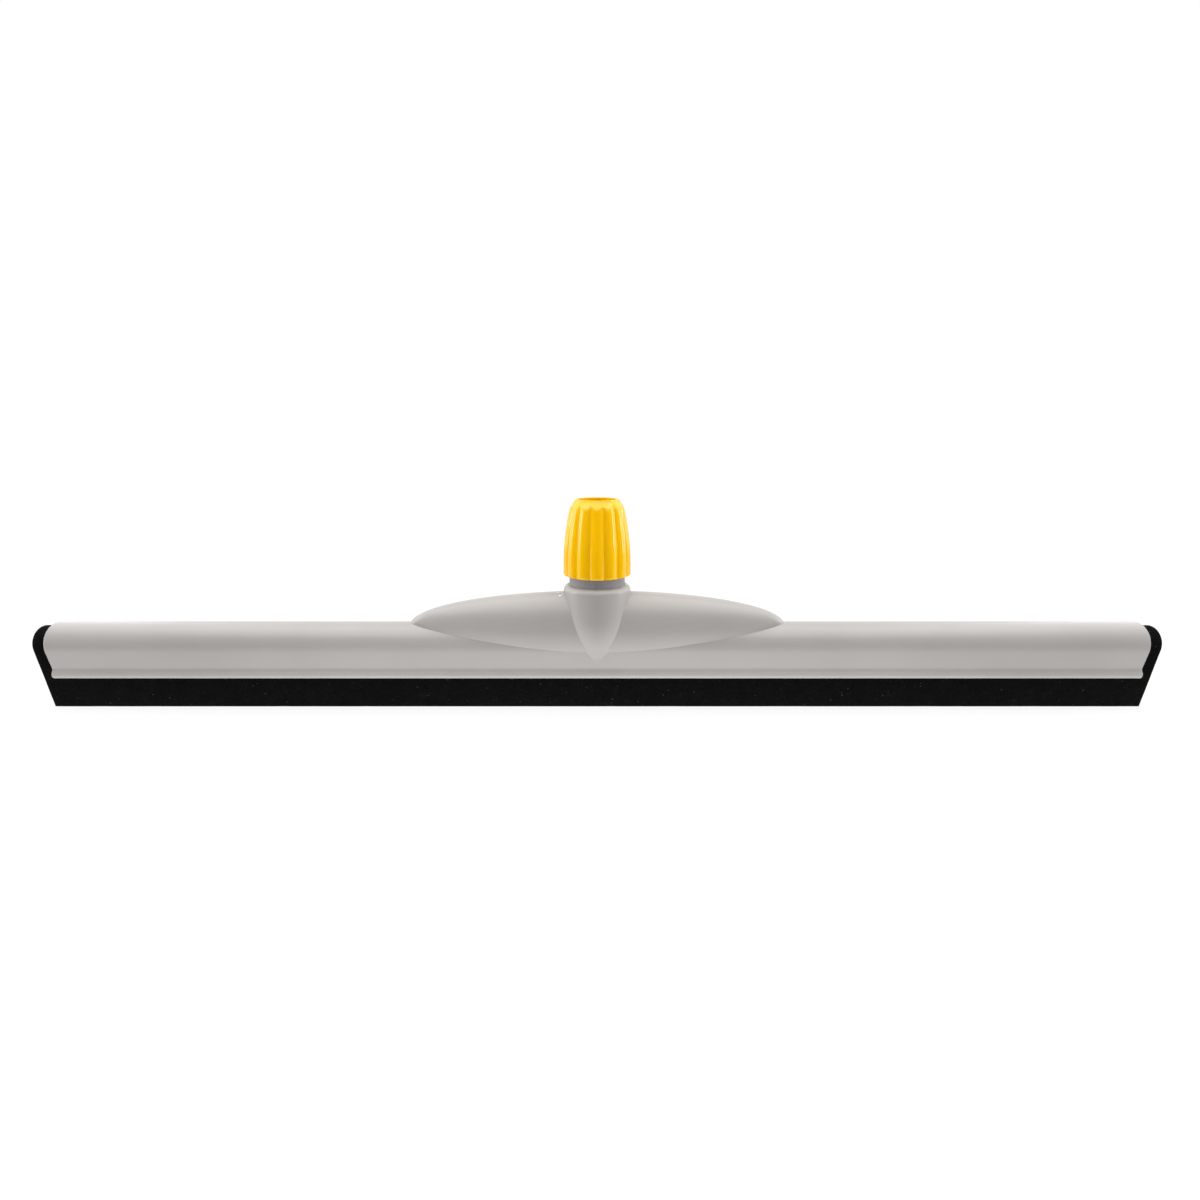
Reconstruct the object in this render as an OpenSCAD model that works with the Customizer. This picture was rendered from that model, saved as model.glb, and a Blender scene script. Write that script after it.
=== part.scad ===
// Floor squeegee head: a moulded channel that holds a folded foam blade,
// with a screw clamp on top for a round handle.
// Millimetres, +Z up, blade along X, floor at Z = 0.

/* [Foam blade] */
// Length of the foam blade
foam_length = 750; // [500:1:1000]
// Thickness of the foam sheet that is folded into the blade
foam_sheet = 3.3; // [2.5:0.1:4]
// Gap between the two lips at the floor
foam_slit = 0.5; // [0.3:0.1:1]
// Outer radius of the fold at the top of the blade
fold_r = 11.75; // [10:0.05:13]
// Height of the fold's centre above the floor
fold_z = 45.2; // [42:0.1:54]
// Length of the core tube inside the fold
core_length = 742; // [500:1:1000]
// Wall of the core tube
core_wall = 1.3; // [0.8:0.1:2]
// Play between the core tube and the foam
core_play = 0.2; // [0.1:0.05:0.4]

/* [Channel] */
// Length of the channel
channel_length = 731; // [480:0.5:980]
// Play between the foam and the channel
blade_play = 0.3; // [0.2:0.05:0.6]
// Wall of the channel over its crown
crown_wall = 2.25; // [1.6:0.05:3]
// Wall of the channel at its neck, above the lips
neck_wall = 1.7; // [1.4:0.05:2.6]
// Height of the neck above the floor
neck_z = 32; // [30:0.1:35]
// Radius of the rolled lip
lip_r = 2.9; // [2.3:0.1:3.4]
// Height of the lip's centre above the floor
lip_z = 25.9; // [22:0.1:27]
// Distance of the lip's centre from the channel's inner face
lip_land = 1.05; // [0.6:0.05:1.6]
// Radius of the hollow between neck and lip
hollow_r = 5; // [3:0.5:8]
// Depth to which the hollow bites into the side and the lip
hollow_bite = 0.02; // [0.01:0.01:0.1]

/* [Saddle] */
// Length of the almond-shaped saddle
saddle_length = 253; // [160:1:320]
// Width of the saddle
saddle_width = 36.5; // [32:0.5:42]
// Rise of the saddle above its widest level
saddle_rise = 23.6; // [18:0.1:26]
// Depth of the saddle's widest level below the crown's top
saddle_sink = 2; // [0:0.1:6]

/* [Socket] */
// Wall of the socket round the collar
socket_wall = 3.75; // [2.5:0.05:5]
// Play between the collar and the socket
socket_play = 0.05; // [0.02:0.01:0.2]
// Height of the socket's rim above the crown's top
socket_height = 26.3; // [22:0.1:40]
// Angle at which the socket widens downwards, in degrees
socket_draft = 3; // [2:0.5:4]
// Height above the crown's top at which the socket starts to draw in
socket_shoulder = 7; // [4:0.5:12]
// Radius of the curve on which the socket's wall turns inwards
socket_curve_r = 35; // [30:0.5:42]
// Angle at which the socket draws in below that curve, in degrees
socket_taper = 29; // [26:0.5:32]
// Thickness of the socket's floor above the crown's top
socket_floor = 1.5; // [1:0.1:4]
// Flat left on the rim inside its round edge
rim_land = 0.35; // [0.2:0.05:1]
// Width of the lugs on the socket's floor
lug_width = 4; // [3:0.5:6]
// Height of the lugs on the socket's floor
lug_height = 3.5; // [2:0.5:6]
// Play of the lugs in the collar's notches
lug_play = 0.15; // [0.1:0.05:0.4]

/* [Handle clamp] */
// Diameter of the handle
handle_d = 24; // [22:0.5:26]
// Play round the handle
handle_play = 0.25; // [0.1:0.05:0.4]
// Wall of the collar
collar_wall = 6.15; // [4.5:0.05:7]
// Step from the collar's shank in to its thread
thread_step = 0.2; // [0.1:0.05:0.5]
// Length of the collar's thread inside the nut
thread_length = 19.4; // [14:0.1:24]
// Depth of the cone in the collar's mouth
seat_depth = 3; // [2:0.1:4]
// Play between the moving pieces of the clamp
clamp_play = 0.3; // [0.2:0.05:0.5]
// Slots from each end of the collet
collet_slots = 3; // [2:1:5]
// Width of a collet slot
slot_width = 1.6; // [1:0.1:2.5]
// Length left uncut at the end of a slot
slot_bridge = 4.5; // [3:0.5:8]

/* [Ring nut] */
// Gap between the socket's rim and the nut
nut_gap = 6.8; // [3:0.1:12]
// Height of the nut
nut_height = 49.5; // [46:0.1:60]
// Wall of the nut over a lobe, at its widest
nut_wall = 4; // [3.4:0.1:5.5]
// Height of the nut's widest level above its foot
nut_belly = 4.5; // [0:0.5:10]
// Number of lobes
nut_lobes = 14; // [10:2:18]
// Radius of a lobe's round face
lobe_r = 5.6; // [5:0.1:8]
// Height of the plain rim at the top of the nut
nut_rim_height = 0.8; // [0.5:0.1:2]
// Height of the slope between the lobes and the rim
nut_slope_height = 4.6; // [3:0.1:6]
// Wall of the nut's rim
nut_rim_wall = 1.55; // [1.3:0.05:3]
// Step from the rim out to the lobes
nut_shoulder = 3.3; // [2:0.1:4]
// Play of the handle in the nut's mouth
mouth_play = 0.8; // [0.3:0.05:1.2]
// Length of the nut's mouth
mouth_length = 4; // [3:0.1:6]
// Ledge between the mouth and the inner cone
mouth_ledge = 0.6; // [0.3:0.1:1.2]
// Height of the bead that keeps the collet in the nut
bead_height = 1; // [0.6:0.1:1.5]
// Reach of that bead into the nut
bead_reach = 0.8; // [0.5:0.1:1]
// Bevel along the nut's foot
foot_bevel = 0.8; // [0.4:0.1:1.5]
// Gap over the collet below the nut's mouth
collet_headroom = 4; // [2:0.5:8]

/* [Hidden] */
$fn = 96;
// Steps of a full turn along the nut's long, flat arc
arc_steps = 720;
// Overlap that carries a cut past the face it opens
cut = 1;

// Lean of the line that rises from half width y at height z to touch a circle of radius r about the fold
function lean(r, y, z) = asin(r / norm([y, fold_z - z])) - atan2(y, fold_z - z);
// Point where a side with that lean touches its circle
function touch(r, a) = [r * cos(a), fold_z - r * sin(a)];
// Half width of such a side at height z
function half_width(r, a, z) = touch(r, a)[0] - (touch(r, a)[1] - z) * tan(a);

// Blade section
fold_inner_r = fold_r - foam_sheet;
blade_lean = lean(fold_inner_r, foam_slit / 2, 0);
core_r = fold_inner_r - core_play;

// Channel section
cavity_r = fold_r + blade_play;
crown_r = cavity_r + crown_wall;
crown_top = fold_z + crown_r;
neck_half = half_width(cavity_r, blade_lean, neck_z) + neck_wall;
side_lean = lean(crown_r, neck_half, neck_z);
side_top = touch(crown_r, side_lean);
side_way = [-sin(side_lean), -cos(side_lean)];
side_out = [cos(side_lean), -sin(side_lean)];
lip_centre = [half_width(cavity_r, blade_lean, lip_z) + lip_land, lip_z];
// The hollow's circle leans on the side from outside and on the lip's circle
hollow_off = hollow_r - hollow_bite;
hollow_from = side_top + hollow_off * side_out - lip_centre;
hollow_along = hollow_from * side_way;
hollow_run = -hollow_along - sqrt(hollow_along ^ 2 - hollow_from * hollow_from + (hollow_off + lip_r) ^ 2);
hollow_start = side_top + hollow_run * side_way;
hollow_centre = hollow_start + hollow_off * side_out;

// Clamp, upwards from the socket
handle_r = handle_d / 2 + handle_play;
collar_r = handle_r + collar_wall;
socket_bore_r = collar_r + socket_play;
socket_r = socket_bore_r + socket_wall;
rim_round = socket_wall - rim_land;
floor_z = crown_top + socket_floor;
shoulder_z = crown_top + socket_shoulder;
rim_z = crown_top + socket_height;
edge_z = rim_z - rim_round;
// Curve below the shoulder, which runs on into a cone
shoulder_r = socket_r + (edge_z - shoulder_z) * tan(socket_draft);
socket_curve = [shoulder_r, shoulder_z] - socket_curve_r * [cos(socket_draft), sin(socket_draft)];
cone_start = socket_curve + socket_curve_r * [cos(socket_taper), -sin(socket_taper)];
// The cone ends inside the channel, level with the lips
cone_end = [cone_start[0] - (cone_start[1] - lip_z) * tan(socket_taper), lip_z];
nut_z = rim_z + nut_gap;
collar_top = nut_z + thread_length;
thread_r = collar_r - thread_step;
seat_r = handle_r + seat_depth;

// Nut
nut_bore_r = thread_r + clamp_play;
nut_r = nut_bore_r + nut_wall;
nut_top = nut_z + nut_height;
belly_z = nut_z + nut_belly;
slope_top = nut_top - nut_rim_height;
lobe_top = slope_top - nut_slope_height;
mouth_r = handle_r + mouth_play;
nut_rim_r = mouth_r + nut_rim_wall;
lobe_drop = nut_r - nut_rim_r - nut_shoulder;
// Arc up the crest of a lobe, from the belly to the lobe's top
crest_r = ((lobe_top - belly_z) ^ 2 + lobe_drop ^ 2) / (2 * lobe_drop);
crest_centre = [nut_r - crest_r, belly_z];
bead_z = collar_top + clamp_play;
bead_r = nut_bore_r - bead_reach;
cone_z = bead_z + bead_height + 2 * clamp_play;
cone_top = nut_top - mouth_length;
cone_top_r = mouth_r + mouth_ledge;
cone_slope = (nut_bore_r - cone_top_r) / (cone_top - cone_z);

// Collet
collet_foot = bead_z + bead_height + clamp_play;
collet_top = cone_top - collet_headroom;
function collet_r(z) = nut_bore_r - clamp_play - max(0, z - cone_z) * cone_slope;

// Runs a Y-Z section along X, centred
module along_x(length) {
    rotate([90, 0, 90]) linear_extrude(length, center = true) children();
}

// Room for the blade: a round top, and below it straight sides down past the lips
module cavity() {
    length = channel_length + 2 * cut;
    top = touch(cavity_r, blade_lean);
    foot = half_width(cavity_r, blade_lean, -cut);
    along_x(length) intersection() {
        translate([0, fold_z]) circle(cavity_r);
        translate([-cavity_r, top[1]]) square(2 * cavity_r);
    }
    along_x(length) polygon([[-top[0], top[1]], top, [foot, -cut], [-foot, -cut]]);
}

module channel_side() {
    difference() {
        polygon([[0, fold_z], side_top, hollow_start, hollow_centre, lip_centre, [0, lip_z]]);
        translate(hollow_centre) circle(hollow_r);
    }
    translate(lip_centre) circle(lip_r);
}

module channel_section() {
    translate([0, fold_z]) circle(crown_r);
    channel_side();
    mirror([1, 0]) channel_side();
}

module saddle() {
    translate([0, 0, crown_top - saddle_sink])
        scale([saddle_length / 2, saddle_width / 2, saddle_rise])
            rotate([0, 90, 0]) sphere(1);
}

module socket() {
    rotate_extrude() {
        translate([0, edge_z]) square([socket_r - rim_round, rim_round]);
        translate([socket_r - rim_round, edge_z]) intersection() {
            circle(rim_round);
            square(rim_round);
        }
        polygon([[0, edge_z], [socket_r, edge_z], [shoulder_r, shoulder_z], [0, shoulder_z]]);
        intersection() {
            translate(socket_curve) circle(socket_curve_r);
            translate([0, cone_start[1]]) square([socket_r + socket_curve_r, shoulder_z - cone_start[1]]);
        }
        polygon([[0, cone_start[1]], cone_start, cone_end, [0, lip_z]]);
    }
}

// Four radial bars across the foot of the bore, as lugs or as notches
module lug_bars(width, height) {
    for (a = [0, 90])
        translate([0, 0, floor_z])
            rotate(a) translate([-socket_bore_r, -width / 2, 0]) cube([2 * socket_bore_r, width, height]);
}

module socket_bore() {
    difference() {
        translate([0, 0, floor_z]) cylinder(h = rim_z - floor_z + cut, r = socket_bore_r);
        difference() {
            lug_bars(lug_width, lug_height);
            translate([0, 0, floor_z]) cylinder(h = lug_height + cut, r = handle_r);
        }
    }
}

module head_body() {
    color("#c9c7c2") difference() {
        union() {
            along_x(channel_length) channel_section();
            saddle();
            socket();
        }
        cavity();
        socket_bore();
    }
}

// Round stretch of the foam sheet, down to where its lips start
module foam_fold() {
    far = 2 * fold_r;
    end = far * [cos(blade_lean), -sin(blade_lean)];
    translate([0, fold_z]) difference() {
        circle(fold_r);
        circle(fold_inner_r);
        polygon([[0, 0], end, [far, -far], [-far, -far], [-end[0], end[1]]]);
    }
}

module foam_lip() {
    polygon([
        touch(fold_r, blade_lean),
        touch(fold_inner_r, blade_lean),
        [half_width(fold_inner_r, blade_lean, 0), 0],
        [half_width(fold_r, blade_lean, 0), 0]
    ]);
}

module foam_insert() {
    color("#151515") {
        along_x(foam_length) foam_fold();
        along_x(foam_length) foam_lip();
        along_x(foam_length) mirror([1, 0]) foam_lip();
    }
}

module core_tube() {
    color("#d8d6d0") translate([0, 0, fold_z]) rotate([0, 90, 0]) difference() {
        cylinder(h = core_length, r = core_r, center = true);
        cylinder(h = core_length + 2 * cut, r = core_r - core_wall, center = true);
    }
}

module collar() {
    color("#7e7c80") difference() {
        rotate_extrude() difference() {
            union() {
                translate([handle_r, floor_z]) square([collar_wall, nut_z - floor_z]);
                translate([handle_r, nut_z]) square([thread_r - handle_r, thread_length]);
            }
            polygon([
                [handle_r, collar_top - seat_depth],
                [seat_r + cut, collar_top + cut],
                [handle_r, collar_top + cut]
            ]);
        }
        lug_bars(lug_width + 2 * lug_play, lug_height + lug_play);
    }
}

module collet() {
    nose_r = bead_r - clamp_play;
    // The nose stands off the collar's cone by the clamp's play
    nose_z = collar_top - seat_depth + clamp_play;
    color("#8b898c") difference() {
        rotate_extrude() polygon([
            [handle_r, nose_z],
            [seat_r, nose_z + seat_depth],
            [nose_r, nose_z + seat_depth],
            [nose_r, collet_foot],
            [collet_r(collet_foot), collet_foot],
            [collet_r(cone_z), cone_z],
            [collet_r(collet_top), collet_top],
            [handle_r, collet_top]
        ]);
        for (i = [0 : collet_slots - 1]) {
            rotate(i * 360 / collet_slots) collet_slot(nose_z - cut, collet_top - slot_bridge);
            rotate((i + 0.5) * 360 / collet_slots) collet_slot(nose_z + slot_bridge, collet_top + cut);
        }
    }
}

module collet_slot(from, to) {
    translate([0, -slot_width / 2, from]) cube([nut_bore_r, slot_width, to - from]);
}

module lobe() {
    low = asin((nut_z - cut - belly_z) / crest_r);
    high = asin((nut_top - belly_z) / crest_r);
    translate([crest_centre[0], 0, crest_centre[1]])
        rotate([90, -low, 0]) rotate_extrude(angle = high - low, $fn = arc_steps)
            translate([crest_r - lobe_r, 0]) circle(lobe_r);
}

module nut_outline() {
    rotate_extrude() polygon([
        [0, nut_z],
        [nut_r - foot_bevel, nut_z],
        [nut_r, nut_z + foot_bevel],
        [nut_r, lobe_top - lobe_drop * nut_slope_height / nut_shoulder],
        [nut_rim_r, slope_top],
        [nut_rim_r, nut_top],
        [0, nut_top]
    ]);
}

module nut_inside() {
    rotate_extrude() polygon([
        [0, nut_z - cut],
        [nut_bore_r, nut_z - cut],
        [nut_bore_r, bead_z],
        [bead_r, bead_z],
        [bead_r, bead_z + bead_height],
        [nut_bore_r, bead_z + bead_height],
        [nut_bore_r, cone_z],
        [cone_top_r, cone_top],
        [mouth_r, cone_top],
        [mouth_r, nut_top + cut],
        [0, nut_top + cut]
    ]);
}

module ring_nut() {
    color("#f4bd12") difference() {
        intersection() {
            union() {
                for (i = [0 : nut_lobes - 1]) rotate(i * 360 / nut_lobes - 90) lobe();
                cylinder(h = nut_top, r = nut_rim_r);
            }
            nut_outline();
        }
        nut_inside();
    }
}

head_body();
foam_insert();
core_tube();
collar();
collet();
ring_nut();
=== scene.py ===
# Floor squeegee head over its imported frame: a grey moulded head, a black foam blade and a yellow
# ring nut. Sections and profiles are drawn in millimetres, and each finished mesh is in metres.
import math

import bmesh
import bpy
from mathutils import Matrix, Vector, noise


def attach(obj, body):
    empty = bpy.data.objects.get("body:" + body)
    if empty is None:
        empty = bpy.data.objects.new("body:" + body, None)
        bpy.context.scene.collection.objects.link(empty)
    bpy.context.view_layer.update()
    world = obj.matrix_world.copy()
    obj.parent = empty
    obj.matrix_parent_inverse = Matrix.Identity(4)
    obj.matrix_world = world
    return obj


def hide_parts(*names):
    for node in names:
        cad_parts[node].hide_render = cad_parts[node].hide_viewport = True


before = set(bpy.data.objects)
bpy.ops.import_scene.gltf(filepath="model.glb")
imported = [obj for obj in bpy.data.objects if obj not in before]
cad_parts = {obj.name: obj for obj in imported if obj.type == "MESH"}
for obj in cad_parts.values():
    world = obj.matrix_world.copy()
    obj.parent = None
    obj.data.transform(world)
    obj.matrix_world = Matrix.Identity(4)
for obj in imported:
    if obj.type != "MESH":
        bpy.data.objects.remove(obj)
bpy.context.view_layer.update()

MM = 0.001
QUARTER, FULL_TURN = math.pi / 2, 2 * math.pi
# Points nearer than MERGE become one, and a cutting tool runs past what it cuts by PAST
MERGE, PAST = 0.002, 1

# Foam blade and the tube in its fold
FOAM_LENGTH, FOAM_SHEET, FOAM_SLIT = 750, 3.3, 0.5
FOLD_R, FOLD_Z = 11.75, 45.2
CORE_LENGTH, CORE_R, CORE_WALL = 742, 8.25, 1.3

# Channel
CHANNEL_LENGTH, CAVITY_R, CROWN_R = 731, 12.05, 14.3
NECK_Z, NECK_WALL = 32, 1.7
LIP_R, LIP_Z, LIP_LAND, HOLLOW_R = 2.9, 25.9, 1.05, 3.5
CROWN_TOP = FOLD_Z + CROWN_R

# Saddle and handle socket
SADDLE_LENGTH, SADDLE_WIDTH, SADDLE_RISE, SADDLE_SINK = 253, 36.5, 23.6, 2
SOCKET_R, SOCKET_BORE_R, SOCKET_CURVE_R = 22.2, 18.45, 35
SOCKET_DRAFT, SOCKET_TAPER = math.radians(3), math.radians(29)
SOCKET_FLOOR_Z, SHOULDER_Z, RIM_Z, RIM_ROUND = 61, 66.5, 85.8, 3.4

# Collar
HANDLE_R, COLLAR_R, THREAD_R, THREAD_ROOT_R = 12.25, 18.4, 18.2, 17
COLLAR_TOP, SEAT_DEPTH = 112, 3
THREAD_LEAD, THREAD_FOOT, THREAD_TURNS = 4, 94.5, 4

# Ring nut. CREST_R is the radius of the arc in which a lobe's crest leans in
NUT_Z, NUT_TOP, NUT_R, NUT_BORE_R = 92.6, 142.1, 22.5, 18.5
NUT_LOBES, LOBE_R, BELLY_Z, CREST_R = 14, 5.6, 97.1, 172.752
LOBE_TOP, LOBE_TOP_R, SLOPE_TOP, RIM_R = 136.7, 17.9, 141.3, 14.6
MOUTH_R, CONE_Z, CONE_TOP, CONE_TOP_R = 13.05, 113.9, 138.1, 13.65
BEAD_Z, BEAD_HEIGHT, BEAD_R = 112.3, 1, 17.7
FOOT_BEVEL = 0.8
LOBE_PITCH = FULL_TURN / NUT_LOBES


# Drawing sections in the Y-Z plane

def points_of(geom):
    """Points among what an operator hands back."""
    return [part for part in geom if isinstance(part, bmesh.types.BMVert)]


def start(bm, y, z):
    """First point of a section."""
    return bmesh.ops.create_vert(bm, co=(0, y, z))["vert"][0]


def line(bm, tip, y, z, steps=1):
    """Straight stretch of a section, from its tip to (y, z)."""
    way = (Vector((0, y, z)) - tip.co) / steps
    for _ in range(steps):
        tip = bmesh.ops.extrude_vert_indiv(bm, verts=[tip])["verts"][0]
        bmesh.ops.translate(bm, vec=way, verts=[tip])
    return tip


def arc(bm, tip, centre, turn, steps):
    """Round stretch of a section: its tip goes round centre through turn radians."""
    bent = bmesh.ops.spin(
        bm, geom=[tip], cent=(0, *centre), axis=(1, 0, 0), angle=turn, steps=steps)
    return points_of(bent["geom_last"])[0]


def outline(bm, first, *others):
    """Section of straight stretches from point to point."""
    tip = start(bm, *first)
    for y, z in others:
        tip = line(bm, tip, y, z)


# Making solid forms of sections

def merge(bm):
    bmesh.ops.remove_doubles(bm, verts=bm.verts[:], dist=MERGE)


def x_span(edge):
    return abs(edge.verts[0].co.x - edge.verts[1].co.x)


def run(bm, length, end_bevel, cuts):
    """Mirrors a half section, fills it and runs it along X, with softened ends."""
    bmesh.ops.mirror(bm, geom=bm.verts[:] + bm.edges[:], axis="Y", merge_dist=MERGE)
    merge(bm)
    bmesh.ops.contextual_create(bm, geom=bm.edges[:])
    bmesh.ops.translate(bm, vec=(-length / 2, 0, 0), verts=bm.verts[:])
    far = bmesh.ops.extrude_face_region(bm, geom=bm.faces[:])["geom"]
    bmesh.ops.translate(bm, vec=(length, 0, 0), verts=points_of(far))
    rims = [e for e in bm.edges if x_span(e) < MERGE]
    bmesh.ops.bevel(
        bm, geom=rims, offset=end_bevel, offset_type="OFFSET", affect="EDGES", segments=2,
        profile=0.5, material=-1, clamp_overlap=True)
    long = [e for e in bm.edges if x_span(e) > length / 2]
    bmesh.ops.subdivide_edges(bm, edges=long, cuts=cuts)


def revolve(bm, steps):
    """Turns a section once round the Z axis."""
    bmesh.ops.spin(
        bm, geom=bm.verts[:] + bm.edges[:], cent=(0, 0, 0), axis=(0, 0, 1), angle=FULL_TURN,
        steps=steps, use_merge=True)
    merge(bm)


def lay_along_x(bm):
    """Lays what stands along Z down along X."""
    bmesh.ops.rotate(
        bm, cent=(0, 0, 0), matrix=Matrix.Rotation(QUARTER, 3, "Y"), verts=bm.verts[:])


def face_outwards(bm):
    bmesh.ops.recalc_face_normals(bm, faces=bm.faces[:])


def soften(bm, sharp_degrees):
    """Smooth faces, with a crisp edge wherever two of them meet at more than the angle."""
    for face in bm.faces:
        face.smooth = True
    for edge in bm.edges:
        edge.smooth = edge.calc_face_angle(0) < math.radians(sharp_degrees)


def placed(name, bm):
    """Object in the scene, made of a bmesh that it uses up."""
    mesh = bpy.data.meshes.new(name)
    bm.to_mesh(mesh)
    bm.free()
    obj = bpy.data.objects.new(name, mesh)
    bpy.context.scene.collection.objects.link(obj)
    return obj


def bare_form(name, bm):
    """Bare object in millimetres, with its faces turned outwards."""
    face_outwards(bm)
    return placed(name, bm)


def joined(base, *cuts):
    """Bmesh of base after each (operation, tool) in turn. Base and tools are used up."""
    for operation, tool in cuts:
        step = base.modifiers.new(tool.name, "BOOLEAN")
        step.operation, step.object, step.solver = operation, tool, "EXACT"
    bpy.context.view_layer.update()
    bm = bmesh.new()
    bm.from_object(base, bpy.context.evaluated_depsgraph_get())
    for obj in [base] + [tool for _, tool in cuts]:
        bpy.data.objects.remove(obj)
    merge(bm)
    bmesh.ops.dissolve_degenerate(bm, dist=MERGE, edges=bm.edges[:])
    return bm


def piece(name, bm, body, slot, material, *nodes, sharp=30, outward=True):
    """Finished piece: smooth, in metres, on its body, in place of its nodes of the frame."""
    merge(bm)
    if outward:
        face_outwards(bm)
    soften(bm, sharp)
    bmesh.ops.scale(bm, vec=(MM, MM, MM), verts=bm.verts[:])
    obj = placed(name, bm)
    obj.data.materials.append(material)
    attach(obj, body)
    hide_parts(*nodes)
    return obj


# Shape of the channel and the blade: sides that touch a round top and lean in below it

def lean(r, y, z):
    """Lean of the side that rises from (y, z) to touch a round of radius r about the fold."""
    return math.asin(r / math.hypot(y, FOLD_Z - z)) - math.atan2(y, FOLD_Z - z)


def touch(r, a):
    """Where a side with lean a touches the round."""
    return Vector((r * math.cos(a), FOLD_Z - r * math.sin(a)))


def half_width(r, a, z):
    """How far out the side is at height z."""
    top = touch(r, a)
    return top.x - (top.y - z) * math.tan(a)


def way_down(a):
    return Vector((-math.sin(a), -math.cos(a)))


def way_out(a):
    return Vector((math.cos(a), -math.sin(a)))


FOLD = (0, FOLD_Z)
FOLD_INNER_R = FOLD_R - FOAM_SHEET
BLADE_LEAN = lean(FOLD_INNER_R, FOAM_SLIT / 2, 0)


def channel_wall():
    """Lipped channel, open below: inner face, rolled lip, hollow, side and crown."""
    side_lean = lean(CROWN_R, half_width(CAVITY_R, BLADE_LEAN, NECK_Z) + NECK_WALL, NECK_Z)
    side_top = touch(CROWN_R, side_lean)
    side_way, side_out = way_down(side_lean), way_out(side_lean)
    lip = Vector((half_width(CAVITY_R, BLADE_LEAN, LIP_Z) + LIP_LAND, LIP_Z))
    # The hollow's round touches the side and the lip
    gap = side_top + HOLLOW_R * side_out - lip
    along = gap.dot(side_way)
    drop = -along - math.sqrt(along ** 2 - gap.length_squared + (HOLLOW_R + LIP_R) ** 2)
    hollow = side_top + drop * side_way + HOLLOW_R * side_out
    lip_end = math.atan2(*(hollow - lip).yx)
    # The inner face runs down into the lip
    inner_way, inner_out = way_down(BLADE_LEAN), way_out(BLADE_LEAN)
    inset = LIP_LAND * math.cos(BLADE_LEAN)
    foot = lip - inset * inner_out + math.sqrt(LIP_R ** 2 - inset ** 2) * inner_way
    lip_start = math.atan2(*(foot - lip).yx)

    bm = bmesh.new()
    tip = start(bm, 0, FOLD_Z + CAVITY_R)
    tip = arc(bm, tip, FOLD, -QUARTER - BLADE_LEAN, steps=48)
    tip = line(bm, tip, *foot)
    tip = arc(bm, tip, lip, lip_end - lip_start, steps=28)
    tip = arc(bm, tip, hollow, -lip_end - side_lean, steps=12)
    tip = line(bm, tip, *side_top)
    arc(bm, tip, FOLD, QUARTER + side_lean, steps=72)
    run(bm, CHANNEL_LENGTH, end_bevel=0.35, cuts=31)
    return bm


def channel_core():
    """Room inside the channel, up to the middle of its wall."""
    r = (CAVITY_R + CROWN_R) / 2
    bm = bmesh.new()
    tip = start(bm, 0, FOLD_Z + r)
    tip = arc(bm, tip, FOLD, -QUARTER - BLADE_LEAN, steps=24)
    tip = line(bm, tip, half_width(r, BLADE_LEAN, -PAST), -PAST)
    line(bm, tip, 0, -PAST)
    run(bm, CHANNEL_LENGTH, end_bevel=0.1, cuts=1)
    return bm


def saddle():
    """Almond-shaped rise on the middle of the channel."""
    bm = bmesh.new()
    bmesh.ops.create_uvsphere(bm, u_segments=128, v_segments=120, radius=1)
    lay_along_x(bm)
    half_size = SADDLE_LENGTH / 2, SADDLE_WIDTH / 2, SADDLE_RISE
    bmesh.ops.scale(bm, vec=half_size, verts=bm.verts[:])
    bmesh.ops.translate(bm, vec=(0, 0, CROWN_TOP - SADDLE_SINK), verts=bm.verts[:])
    return bm


def socket_outside():
    """Round socket with a little draft, which turns in below to a cone, and a rounded rim."""
    edge_z = RIM_Z - RIM_ROUND
    shoulder = Vector((SOCKET_R + (edge_z - SHOULDER_Z) * math.tan(SOCKET_DRAFT), SHOULDER_Z))
    draft_way = Vector((math.cos(SOCKET_DRAFT), math.sin(SOCKET_DRAFT)))
    curve = shoulder - SOCKET_CURVE_R * draft_way
    cone = curve + SOCKET_CURVE_R * way_out(SOCKET_TAPER)
    bm = bmesh.new()
    tip = start(bm, 0, LIP_Z)
    tip = line(bm, tip, cone.x - (cone.y - LIP_Z) * math.tan(SOCKET_TAPER), LIP_Z)
    tip = line(bm, tip, *cone, steps=24)
    tip = arc(bm, tip, curve, SOCKET_TAPER + SOCKET_DRAFT, steps=32)
    tip = line(bm, tip, SOCKET_R, edge_z, steps=12)
    tip = arc(bm, tip, (SOCKET_R - RIM_ROUND, edge_z), QUARTER, steps=12)
    line(bm, tip, 0, RIM_Z)
    revolve(bm, steps=192)
    return bm


def socket_bore():
    """Room for the collar, open above."""
    bm = bmesh.new()
    outline(
        bm, (0, SOCKET_FLOOR_Z), (SOCKET_BORE_R, SOCKET_FLOOR_Z), (SOCKET_BORE_R, RIM_Z + PAST),
        (0, RIM_Z + PAST))
    revolve(bm, steps=192)
    return bm


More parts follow.
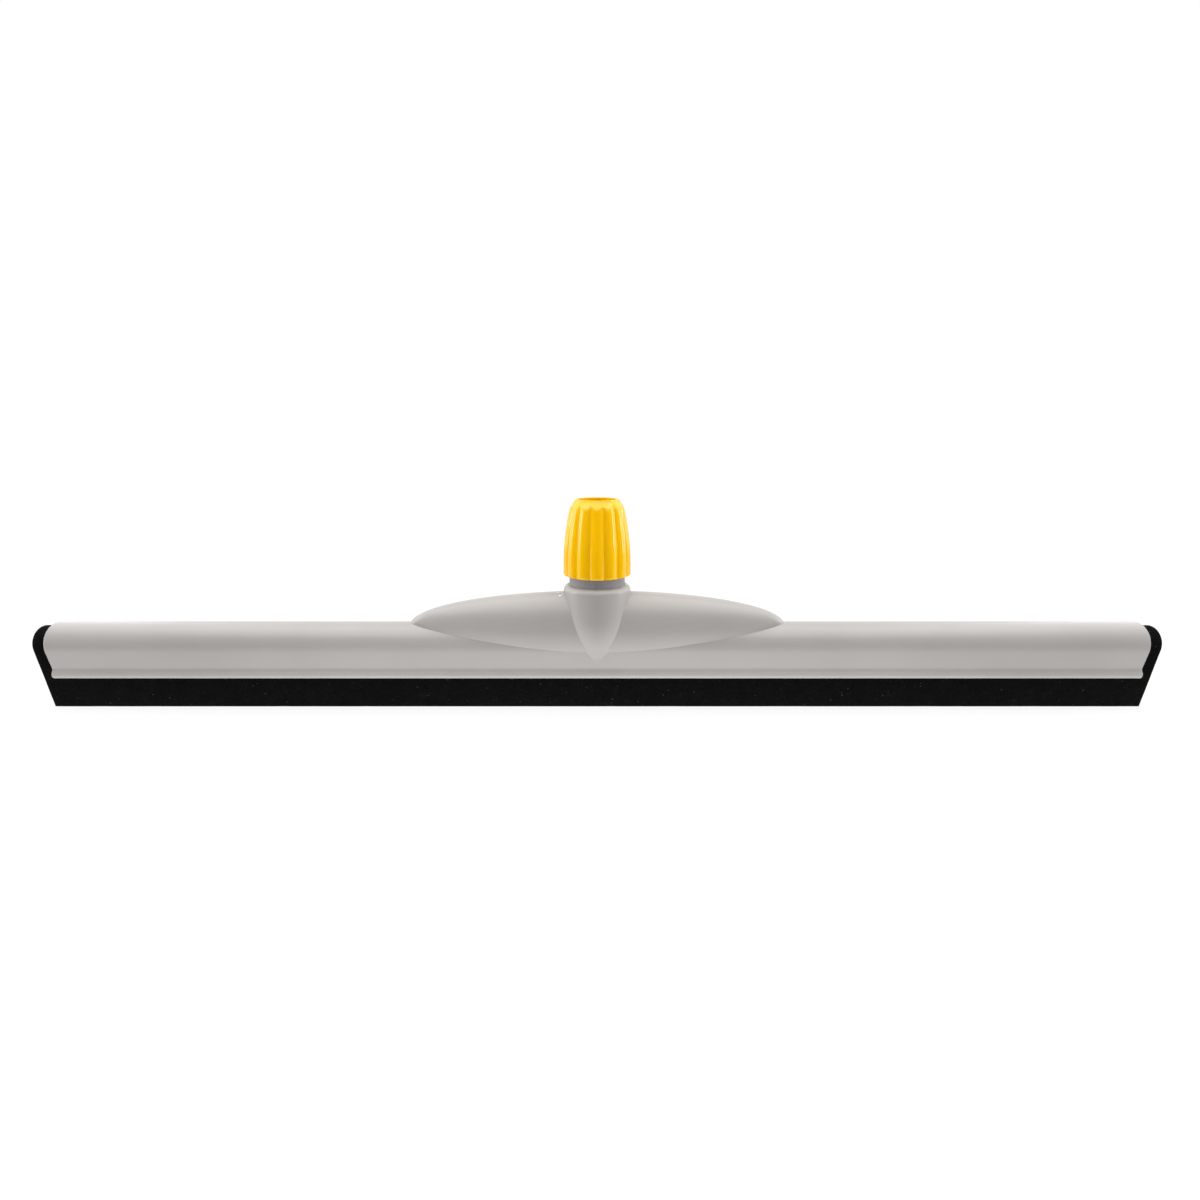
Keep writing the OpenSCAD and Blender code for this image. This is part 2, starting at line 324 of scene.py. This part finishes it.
def foam_sheet():
    """Foam sheet folded over, its two lips side by side on the floor."""
    lip_steps, cut_steps, half = 10, 3, FOAM_LENGTH / 2
    bm = bmesh.new()
    tip = start(bm, 0, FOLD_Z + FOLD_R)
    tip = arc(bm, tip, FOLD, -QUARTER - BLADE_LEAN, steps=32)
    tip = line(bm, tip, half_width(FOLD_R, BLADE_LEAN, 0), 0, lip_steps)
    tip = line(bm, tip, half_width(FOLD_INNER_R, BLADE_LEAN, 0), 0, cut_steps)
    tip = line(bm, tip, *touch(FOLD_INNER_R, BLADE_LEAN), lip_steps)
    arc(bm, tip, FOLD, QUARTER + BLADE_LEAN, steps=24)
    run(bm, FOAM_LENGTH, end_bevel=0.3, cuts=249)
    # Cut sheet is never quite even: it swells and sinks a little from patch to patch
    swell, patch = 0.09, 14
    bm.normal_update()
    for v in bm.verts:
        v.co += v.normal * swell * noise.noise(v.co / patch)
        v.co.x = max(-half, min(half, v.co.x))
        v.co.z = max(0, v.co.z)
    return bm


def core_tube():
    """Extruded tube in the fold of the foam, its ends broken a little."""
    edge, half = 0.25, CORE_LENGTH / 2
    inner = CORE_R - CORE_WALL
    bm = bmesh.new()
    outline(
        bm, (inner, edge - half), (inner, half - edge), (inner + edge, half),
        (CORE_R - edge, half), (CORE_R, half - edge), (CORE_R, edge - half),
        (CORE_R - edge, -half), (inner + edge, -half), (inner, edge - half))
    merge(bm)
    revolve(bm, steps=96)
    lay_along_x(bm)
    bmesh.ops.translate(bm, vec=(0, 0, FOLD_Z), verts=bm.verts[:])
    return bm


def collar_tube():
    """Sleeve of the clamp: plain shank, turned-down part for the thread and a coned mouth."""
    edge = 0.5
    bm = bmesh.new()
    outline(
        bm, (HANDLE_R, SOCKET_FLOOR_Z + edge), (HANDLE_R + edge, SOCKET_FLOOR_Z),
        (COLLAR_R - edge, SOCKET_FLOOR_Z), (COLLAR_R, SOCKET_FLOOR_Z + edge),
        (COLLAR_R, NUT_Z - edge), (THREAD_ROOT_R, NUT_Z + COLLAR_R - THREAD_ROOT_R - edge),
        (THREAD_ROOT_R, COLLAR_TOP - edge), (THREAD_ROOT_R - edge, COLLAR_TOP),
        (HANDLE_R + SEAT_DEPTH, COLLAR_TOP), (HANDLE_R, COLLAR_TOP - SEAT_DEPTH),
        (HANDLE_R, SOCKET_FLOOR_Z + edge))
    merge(bm)
    revolve(bm, steps=128)
    return bm


def thread():
    """Right-hand thread on the collar: one ridge swept up a helix, cut off level at both ends."""
    per_turn, flank, crest = 96, 0.9, 0.9
    # The root stands just clear of the collar, and the ends go down into it
    root, sunk = THREAD_ROOT_R + 0.01, THREAD_ROOT_R - 0.4
    # One turn more than needed at each end
    turns, low = THREAD_TURNS + 2, THREAD_FOOT - THREAD_LEAD
    bm = bmesh.new()
    outline(
        bm, (root, low), (root, low + THREAD_LEAD - 2 * flank - crest),
        (THREAD_R, low + THREAD_LEAD - flank - crest), (THREAD_R, low + THREAD_LEAD - flank),
        (root, low + THREAD_LEAD))
    bmesh.ops.spin(
        bm, geom=bm.verts[:] + bm.edges[:], cent=(0, 0, 0), axis=(0, 0, 1),
        dvec=(0, 0, THREAD_LEAD / per_turn), angle=FULL_TURN * turns, steps=per_turn * turns)
    merge(bm)
    for z, way in ((THREAD_FOOT, -1), (THREAD_FOOT + THREAD_LEAD * THREAD_TURNS, 1)):
        bmesh.ops.bisect_plane(
            bm, geom=bm.verts[:] + bm.edges[:] + bm.faces[:], plane_co=(0, 0, z),
            plane_no=(0, 0, way), clear_outer=True)
    ends = [e for e in bm.edges if e.is_boundary]
    inward = bmesh.ops.extrude_edge_only(bm, edges=ends)["geom"]
    for v in points_of(inward):
        v.co.xy = v.co.xy.normalized() * sunk
    bmesh.ops.bridge_loops(bm, edges=[e for e in bm.edges if e.is_boundary])
    return bm


def threaded_collar():
    """Collar with its thread. The two are closed shapes, and each faces outwards by itself."""
    collar, ridge = collar_tube(), bare_form("ridge_form", thread())
    face_outwards(collar)
    collar.from_mesh(ridge.data)
    bpy.data.meshes.remove(ridge.data)
    return collar


def smooth_least(a, b, round_off):
    """The lesser of two radii, rounded off where they cross."""
    share = max(0, min(1, 0.5 + 0.5 * (b - a) / round_off))
    return b + (a - b) * share - round_off * share * (1 - share)


def nut_radius(off_crest, z):
    """Outer radius of the nut, at an angle from a lobe's crest: lobes that lean in upwards, a
    sloping shoulder and a plain rim."""
    groove_round, rim_edge, rim_blend, blend = 0.012, 0.5, 0.4, 0.5
    off_crest = LOBE_PITCH / 2 - math.hypot(LOBE_PITCH / 2 - abs(off_crest), groove_round)
    centre = NUT_R - CREST_R + math.sqrt(CREST_R ** 2 - (z - BELLY_Z) ** 2) - LOBE_R
    across = centre * math.sin(off_crest)
    lobe = centre * math.cos(off_crest) + math.sqrt(LOBE_R ** 2 - across ** 2)
    slope = RIM_R + (SLOPE_TOP - z) * (LOBE_TOP_R - RIM_R) / (SLOPE_TOP - LOBE_TOP)
    shoulder = -smooth_least(-slope, -RIM_R, rim_blend)
    if z > NUT_TOP - rim_edge:
        shoulder -= rim_edge - math.sqrt(rim_edge ** 2 - (z - NUT_TOP + rim_edge) ** 2)
    foot = NUT_R - FOOT_BEVEL + (z - NUT_Z)
    return smooth_least(smooth_least(lobe, shoulder, blend), foot, blend)


def ring_nut():
    """Fluted ring nut, drawn as a plain ring whose outside is then drawn in to its lobes."""
    plain_r, outside_r, edge = NUT_R + 2, NUT_R + 1, 0.45
    # Rows lie closer near the foot, and below and on the shoulder
    foot_rows, shoulder_rows = NUT_Z + 2, LOBE_TOP - 6
    bm = bmesh.new()
    tip = start(bm, NUT_BORE_R, NUT_Z + edge)
    tip = line(bm, tip, NUT_BORE_R + edge, NUT_Z)
    tip = line(bm, tip, plain_r, NUT_Z)
    tip = line(bm, tip, plain_r, foot_rows, steps=8)
    tip = line(bm, tip, plain_r, shoulder_rows, steps=26)
    tip = line(bm, tip, plain_r, NUT_TOP, steps=36)
    tip = line(bm, tip, MOUTH_R + edge, NUT_TOP)
    tip = arc(bm, tip, (MOUTH_R + edge, NUT_TOP - edge), QUARTER, steps=5)
    tip = line(bm, tip, MOUTH_R, CONE_TOP)
    tip = line(bm, tip, CONE_TOP_R, CONE_TOP)
    tip = line(bm, tip, NUT_BORE_R, CONE_Z, steps=4)
    for r, z in (
            (NUT_BORE_R, BEAD_Z + BEAD_HEIGHT), (BEAD_R, BEAD_Z + BEAD_HEIGHT), (BEAD_R, BEAD_Z),
            (NUT_BORE_R, BEAD_Z), (NUT_BORE_R, NUT_Z + edge)):
        tip = line(bm, tip, r, z)
    merge(bm)
    revolve(bm, steps=24 * NUT_LOBES)
    for v in bm.verts:
        if v.co.xy.length > outside_r:
            # Points crowd towards the grooves, where the form is sharp
            angle = math.atan2(v.co.y, v.co.x) + QUARTER
            crest = round(angle / LOBE_PITCH) * LOBE_PITCH
            off_crest = LOBE_PITCH / 2 * math.sin((angle - crest) / LOBE_PITCH * math.pi)
            r, angle = nut_radius(off_crest, v.co.z), crest + off_crest - QUARTER
            v.co.xy = r * math.cos(angle), r * math.sin(angle)
    return bm


# Materials

def srgb(code):
    """Linear colour of an sRGB hex value."""
    parts = [int(code[i:i + 2], 16) / 255 for i in (1, 3, 5)]
    return [c / 12.92 if c <= 0.04045 else ((c + 0.055) / 1.055) ** 2.4 for c in parts] + [1]


def add(tree, kind, inputs=(), stops=(), **settings):
    """Adds a node with its settings, sets or links each named input, and gives a colour ramp its
    (place, hex colour) stops."""
    node = tree.nodes.new(kind)
    for name, value in settings.items():
        setattr(node, name, value)
    for name, value in dict(inputs).items():
        if isinstance(value, bpy.types.NodeSocket):
            tree.links.new(value, node.inputs[name])
        else:
            node.inputs[name].default_value = value
    if stops:
        points = node.color_ramp.elements
        while len(points) < len(stops):
            points.new(0.5)
        for point, (place, code) in zip(points, stops):
            point.position, point.color = place, srgb(code)
    return node


def new_material(name, ior, **sockets):
    """Empty material with its shader; the sockets named are the same all over."""
    material = bpy.data.materials.new(name)
    material.use_nodes = True
    tree = material.node_tree
    shader = tree.nodes["Principled BSDF"]
    shader.inputs["IOR"].default_value = ior
    for socket, value in sockets.items():
        shader.inputs[socket.replace("_", " ")].default_value = value
    where = add(tree, "ShaderNodeTexCoord").outputs["Object"]
    return material, tree, shader, where


def per_mm(size):
    """Pattern scale that gives features of about this many millimetres."""
    return 1 / (size * MM)


def moulded_plastic(name, dark, pale, rough, grain_depth, **sockets):
    """Plastic shaped hot: an even grain in height and gloss, as a spark-eroded mould leaves it, and
    faint clouds of colour where the melt flowed. The true grain is about 0.2 mm, drawn coarser so
    that it shows."""
    cloud_mm, grain_mm, gloss_play = 60, 0.9, 0.04
    material, tree, shader, where = new_material(name, ior=1.49, **sockets)
    cloud = add(tree, "ShaderNodeTexNoise", {
        "Vector": where, "Scale": per_mm(cloud_mm), "Detail": 3.0})
    grain = add(tree, "ShaderNodeTexNoise", {
        "Vector": where, "Scale": per_mm(grain_mm), "Detail": 2.0})
    colour = add(
        tree, "ShaderNodeValToRGB", {"Fac": cloud.outputs["Fac"]},
        stops=((0.35, dark), (0.65, pale)))
    tree.links.new(colour.outputs["Color"], shader.inputs["Base Color"])
    gloss = add(tree, "ShaderNodeMapRange", {
        "Value": grain.outputs["Fac"], "From Min": 0.3, "From Max": 0.7,
        "To Min": rough - gloss_play, "To Max": rough + gloss_play})
    tree.links.new(gloss.outputs["Result"], shader.inputs["Roughness"])
    bump = add(tree, "ShaderNodeBump", {
        "Height": grain.outputs["Fac"], "Strength": 1.0, "Distance": grain_depth * MM})
    tree.links.new(bump.outputs["Normal"], shader.inputs["Normal"])
    return material


def cellular_rubber():
    """Black cellular rubber cut from a block: dull, with burst cells of half a millimetre to two
    millimetres, their hollows painted darker as shade, and pale dusty walls between some of them."""
    fine_mm, coarse_mm, torn_mm, dust_mm, pit_depth = 1.1, 4.2, 3.5, 7, 0.25
    material, tree, shader, where = new_material(
        "cellular_rubber_black", ior=1.5, Roughness=0.9, Specular_IOR_Level=0.04)
    fine, coarse, torn = (
        add(tree, "ShaderNodeTexVoronoi", {
            "Vector": where, "Scale": per_mm(size), "Randomness": 1.0})
        for size in (fine_mm, coarse_mm, torn_mm))
    dust = add(tree, "ShaderNodeTexNoise", {
        "Vector": where, "Scale": per_mm(dust_mm), "Detail": 4.0})
    pit = add(tree, "ShaderNodeMapRange", {
        "Value": coarse.outputs["Distance"], "From Min": 0.1, "From Max": 0.26,
        "To Min": 0.0, "To Max": 1.0})
    cells = add(
        tree, "ShaderNodeMath", {0: fine.outputs["Distance"], 1: pit.outputs["Result"]},
        operation="MULTIPLY")
    # Painted shade: the colour is darkened where the cells sink, in the same places that the bump
    # makes hollow
    shaded_tone = add(
        tree, "ShaderNodeMath", {0: cells.outputs["Value"], 1: dust.outputs["Fac"]},
        operation="MULTIPLY")
    # A burst cell here and there shows a pale torn edge
    some = add(tree, "ShaderNodeSeparateColor", {"Color": torn.outputs["Color"]})
    reach = add(tree, "ShaderNodeMapRange", {
        "Value": some.outputs["Red"], "From Min": 0.55, "From Max": 1.0,
        "To Min": 0.0, "To Max": 0.16})
    speck = add(
        tree, "ShaderNodeMath", {0: torn.outputs["Distance"], 1: reach.outputs["Result"]},
        operation="LESS_THAN")
    shaded_tone = add(
        tree, "ShaderNodeMath", {0: shaded_tone.outputs["Value"], 1: speck.outputs["Value"]},
        operation="MAXIMUM")
    colour = add(
        tree, "ShaderNodeValToRGB", {"Fac": shaded_tone.outputs["Value"]},
        stops=((0.0, "#040404"), (0.2, "#080808"), (0.5, "#0f0f0f"), (1.0, "#30302e")))
    tree.links.new(colour.outputs["Color"], shader.inputs["Base Color"])
    bump = add(tree, "ShaderNodeBump", {
        "Height": cells.outputs["Value"], "Strength": 1.0, "Distance": pit_depth * MM})
    tree.links.new(bump.outputs["Normal"], shader.inputs["Normal"])
    return material


# Satin from a finely eroded mould: broad, soft highlights
grey_plastic = moulded_plastic(
    "polypropylene_moulded_grey", "#a8a4a1", "#aca8a5", rough=0.32, grain_depth=0.004)
# From a polished mould: clear, narrow highlights, and light that sinks in a little
yellow_plastic = moulded_plastic(
    "polypropylene_moulded_yellow", "#fcbf04", "#fec207", rough=0.1, grain_depth=0.001,
    Subsurface_Weight=0.4, Subsurface_Radius=(1, 0.6, 0.1), Subsurface_Scale=0.003)
# Duller than the head, with little shine at its sides
collar_plastic = moulded_plastic(
    "polypropylene_moulded_dark_grey", "#96949a", "#9b999f", rough=0.38, grain_depth=0.004,
    Specular_IOR_Level=0.2)
# A deeper grain, and so a flatter shine than the head's
collet_plastic = moulded_plastic(
    "acetal_moulded_grey", "#929094", "#979599", rough=0.34, grain_depth=0.006)
# Extruded, with a grain like that of the moulded pieces: plain and pale
tube_plastic = moulded_plastic(
    "pvc_extruded_off_white", "#d2d0ca", "#dad8d2", rough=0.36, grain_depth=0.004)
foam_rubber = cellular_rubber()


# The object

def build():
    top = joined(
        bare_form("saddle_form", saddle()),
        ("UNION", bare_form("socket_form", socket_outside())),
        ("DIFFERENCE", bare_form("core_cut", channel_core())),
        ("DIFFERENCE", bare_form("bore_cut", socket_bore())))
    head = joined(
        bare_form("channel_form", channel_wall()),
        ("UNION", bare_form("top_form", top)))
    piece(
        "moulded_head", head, "head", "head_plastic", grey_plastic, "head_body",
        sharp=22, outward=False)

    blade = piece(
        "foam_blade", foam_sheet(), "blade", "cellular_rubber", foam_rubber, "foam_insert",
        sharp=40)
    piece("blade_core", core_tube(), "blade", "core_plastic", tube_plastic, "core_tube")

    piece(
        "threaded_collar", threaded_collar(), "head", "collar_plastic", collar_plastic, "collar",
        outward=False)
    piece(
        "fluted_ring_nut", ring_nut(), "nut", "nut_plastic", yellow_plastic, "ring_nut", sharp=38)

    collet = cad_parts["collet"]
    collet.data.materials.clear()
    collet.data.materials.append(collet_plastic)


build()


# Floor, light and camera

def white_sky(scene):
    """White to the eye. As a light it is dim low in front of the object and brighter above and
    behind it, and a mirror sees white behind the object and dark in front."""
    up_and_back = 0, 0.8, 0.6
    world = bpy.data.worlds.new("white_studio")
    scene.world = world
    world.use_nodes = True
    tree = world.node_tree
    tree.nodes.clear()
    path = add(tree, "ShaderNodeLightPath")
    way = add(tree, "ShaderNodeTexCoord").outputs["Generated"]
    behind = add(
        tree, "ShaderNodeVectorMath", {0: way, 1: up_and_back}, operation="DOT_PRODUCT")
    mirrored = add(
        tree, "ShaderNodeMath",
        {0: path.outputs["Is Glossy Ray"], 1: path.outputs["Is Transmission Ray"]},
        operation="MAXIMUM")
    lit = add(tree, "ShaderNodeMapRange", {
        "Value": behind.outputs["Value"], "From Min": -0.6, "From Max": 0.2,
        "To Min": 0.18, "To Max": 0.42})
    seen = add(tree, "ShaderNodeMapRange", {
        "Value": behind.outputs["Value"], "From Min": 0.05, "From Max": 0.4,
        "To Min": 0.05, "To Max": 1.0})
    level = add(tree, "ShaderNodeMapRange", {
        "Value": mirrored.outputs["Value"],
        "To Min": lit.outputs["Result"], "To Max": seen.outputs["Result"]})
    level = add(
        tree, "ShaderNodeMath", {0: level.outputs["Result"], 1: path.outputs["Is Camera Ray"]},
        operation="MAXIMUM")
    sky = add(tree, "ShaderNodeBackground", {
        "Color": srgb("#ffffff"), "Strength": level.outputs["Value"]})
    add(tree, "ShaderNodeOutputWorld", {"Surface": sky.outputs["Background"]})


def glowing_paper():
    """Paper that glows: to everything but the eye it is a light of its own, bright near the object,
    most of all at its middle, plain behind it and dim out in front. The eye sees plain white with a
    faint shadow, which fades out away from the object, so that the far edge melts into the sky."""
    paper = bpy.data.materials.new("glowing_paper")
    paper.use_nodes = True
    tree = paper.node_tree
    tree.nodes.clear()
    path = add(tree, "ShaderNodeLightPath")
    place = add(tree, "ShaderNodeTexCoord").outputs["Object"]
    away = add(tree, "ShaderNodeVectorMath", {0: place}, operation="LENGTH")
    fade = add(tree, "ShaderNodeMapRange", {
        "Value": away.outputs["Value"], "From Min": 0.45, "From Max": 0.9,
        "To Min": 0.85, "To Max": 1.0})
    share = add(tree, "ShaderNodeMapRange", {
        "Value": path.outputs["Is Camera Ray"], "To Min": 1.0, "To Max": fade.outputs["Result"]})
    depth = add(tree, "ShaderNodeSeparateXYZ", {"Vector": place}).outputs["Y"]
    far = add(tree, "ShaderNodeMapRange", {
        "Value": depth, "From Min": -0.05, "From Max": 0.05, "To Min": 0.05, "To Max": 0.8})
    depth = add(tree, "ShaderNodeMath", {0: depth}, operation="ABSOLUTE")
    middle = add(tree, "ShaderNodeMapRange", {
        "Value": away.outputs["Value"], "From Min": 0.05, "From Max": 0.3,
        "To Min": 1.95, "To Max": 1.6})
    near = add(tree, "ShaderNodeMapRange", {
        "Value": depth.outputs["Value"], "From Min": 0.06, "From Max": 0.22,
        "To Min": middle.outputs["Result"], "To Max": far.outputs["Result"]})
    # Painted light: the paper's own glow, not a lamp, makes the pool of light that reaches the
    # object from below
    power = add(tree, "ShaderNodeMapRange", {
        "Value": path.outputs["Is Camera Ray"], "To Min": near.outputs["Result"], "To Max": 1.0})
    matt = add(tree, "ShaderNodeBsdfDiffuse", {"Color": srgb("#f4f4f3")})
    glow = add(tree, "ShaderNodeEmission", {
        "Color": srgb("#ffffff"), "Strength": power.outputs["Result"]})
    both = add(tree, "ShaderNodeMixShader", {
        0: share.outputs["Result"], 1: matt.outputs["BSDF"], 2: glow.outputs["Emission"]})
    add(tree, "ShaderNodeOutputMaterial", {"Surface": both.outputs["Shader"]})
    return paper


def table():
    half_size, below = 6, 0.0002
    bm = bmesh.new()
    bmesh.ops.create_grid(bm, x_segments=1, y_segments=1, size=half_size)
    bmesh.ops.translate(bm, vec=(0, 0, -below), verts=bm.verts[:])
    floor = placed("floor", bm)
    floor.data.materials.append(glowing_paper())


def lamps(scene):
    """Softboxes above and at both sides, two tall strips that draw pale lines down the socket and
    the nut's lobes, and a small narrow lamp that brings the nut up to the level of the rest."""
    for name, place, aim, width, height, watts, spread in (
            ("overhead_softbox", (0, -0.33, 1.2), (0, -0.33, 0), 2.2, 1.65, 25.0, 180),
            ("left_strip", (-2.0, -0.1, 0.65), (0, 0, 0.2), 0.3, 1.3, 13.0, 180),
            ("right_strip", (2.0, -0.1, 0.65), (0, 0, 0.2), 0.3, 1.3, 13.0, 180),
            ("left_softbox", (-1.0, 0.45, 0.4), (0, 0, 0.1), 0.8, 1.0, 2.1, 180),
            ("right_softbox", (1.0, 0.45, 0.4), (0, 0, 0.1), 0.8, 1.0, 2.1, 180),
            ("nut_lamp", (0, -0.8, 0.5), (0, 0, 0.113), 0.05, 0.05, 0.0018, 5)):
        lamp = bpy.data.lights.new(name, "AREA")
        lamp.shape, lamp.size, lamp.size_y, lamp.energy = "RECTANGLE", width, height, watts
        lamp.spread = math.radians(spread)
        obj = bpy.data.objects.new(name, lamp)
        scene.collection.objects.link(obj)
        obj.location = place
        obj.rotation_euler = (Vector(aim) - Vector(place)).to_track_quat("-Z", "Y").to_euler()


def photo_camera(scene):
    """Camera where the photograph was taken from, fitted to both ends of the blade."""
    degrees_down = 13.54
    lens = bpy.data.cameras.new("camera")
    lens.sensor_width, lens.lens = 36, 19.78
    lens.clip_start = 0.01
    camera = bpy.data.objects.new("camera", lens)
    scene.collection.objects.link(camera)
    camera.location = (0.0019, -0.430, 0.1784)
    camera.rotation_euler = (math.radians(90 - degrees_down), 0, 0)
    scene.camera = camera


def studio():
    scene = bpy.context.scene
    scene.view_settings.view_transform = "Standard"
    white_sky(scene)
    table()
    lamps(scene)
    photo_camera(scene)


studio()
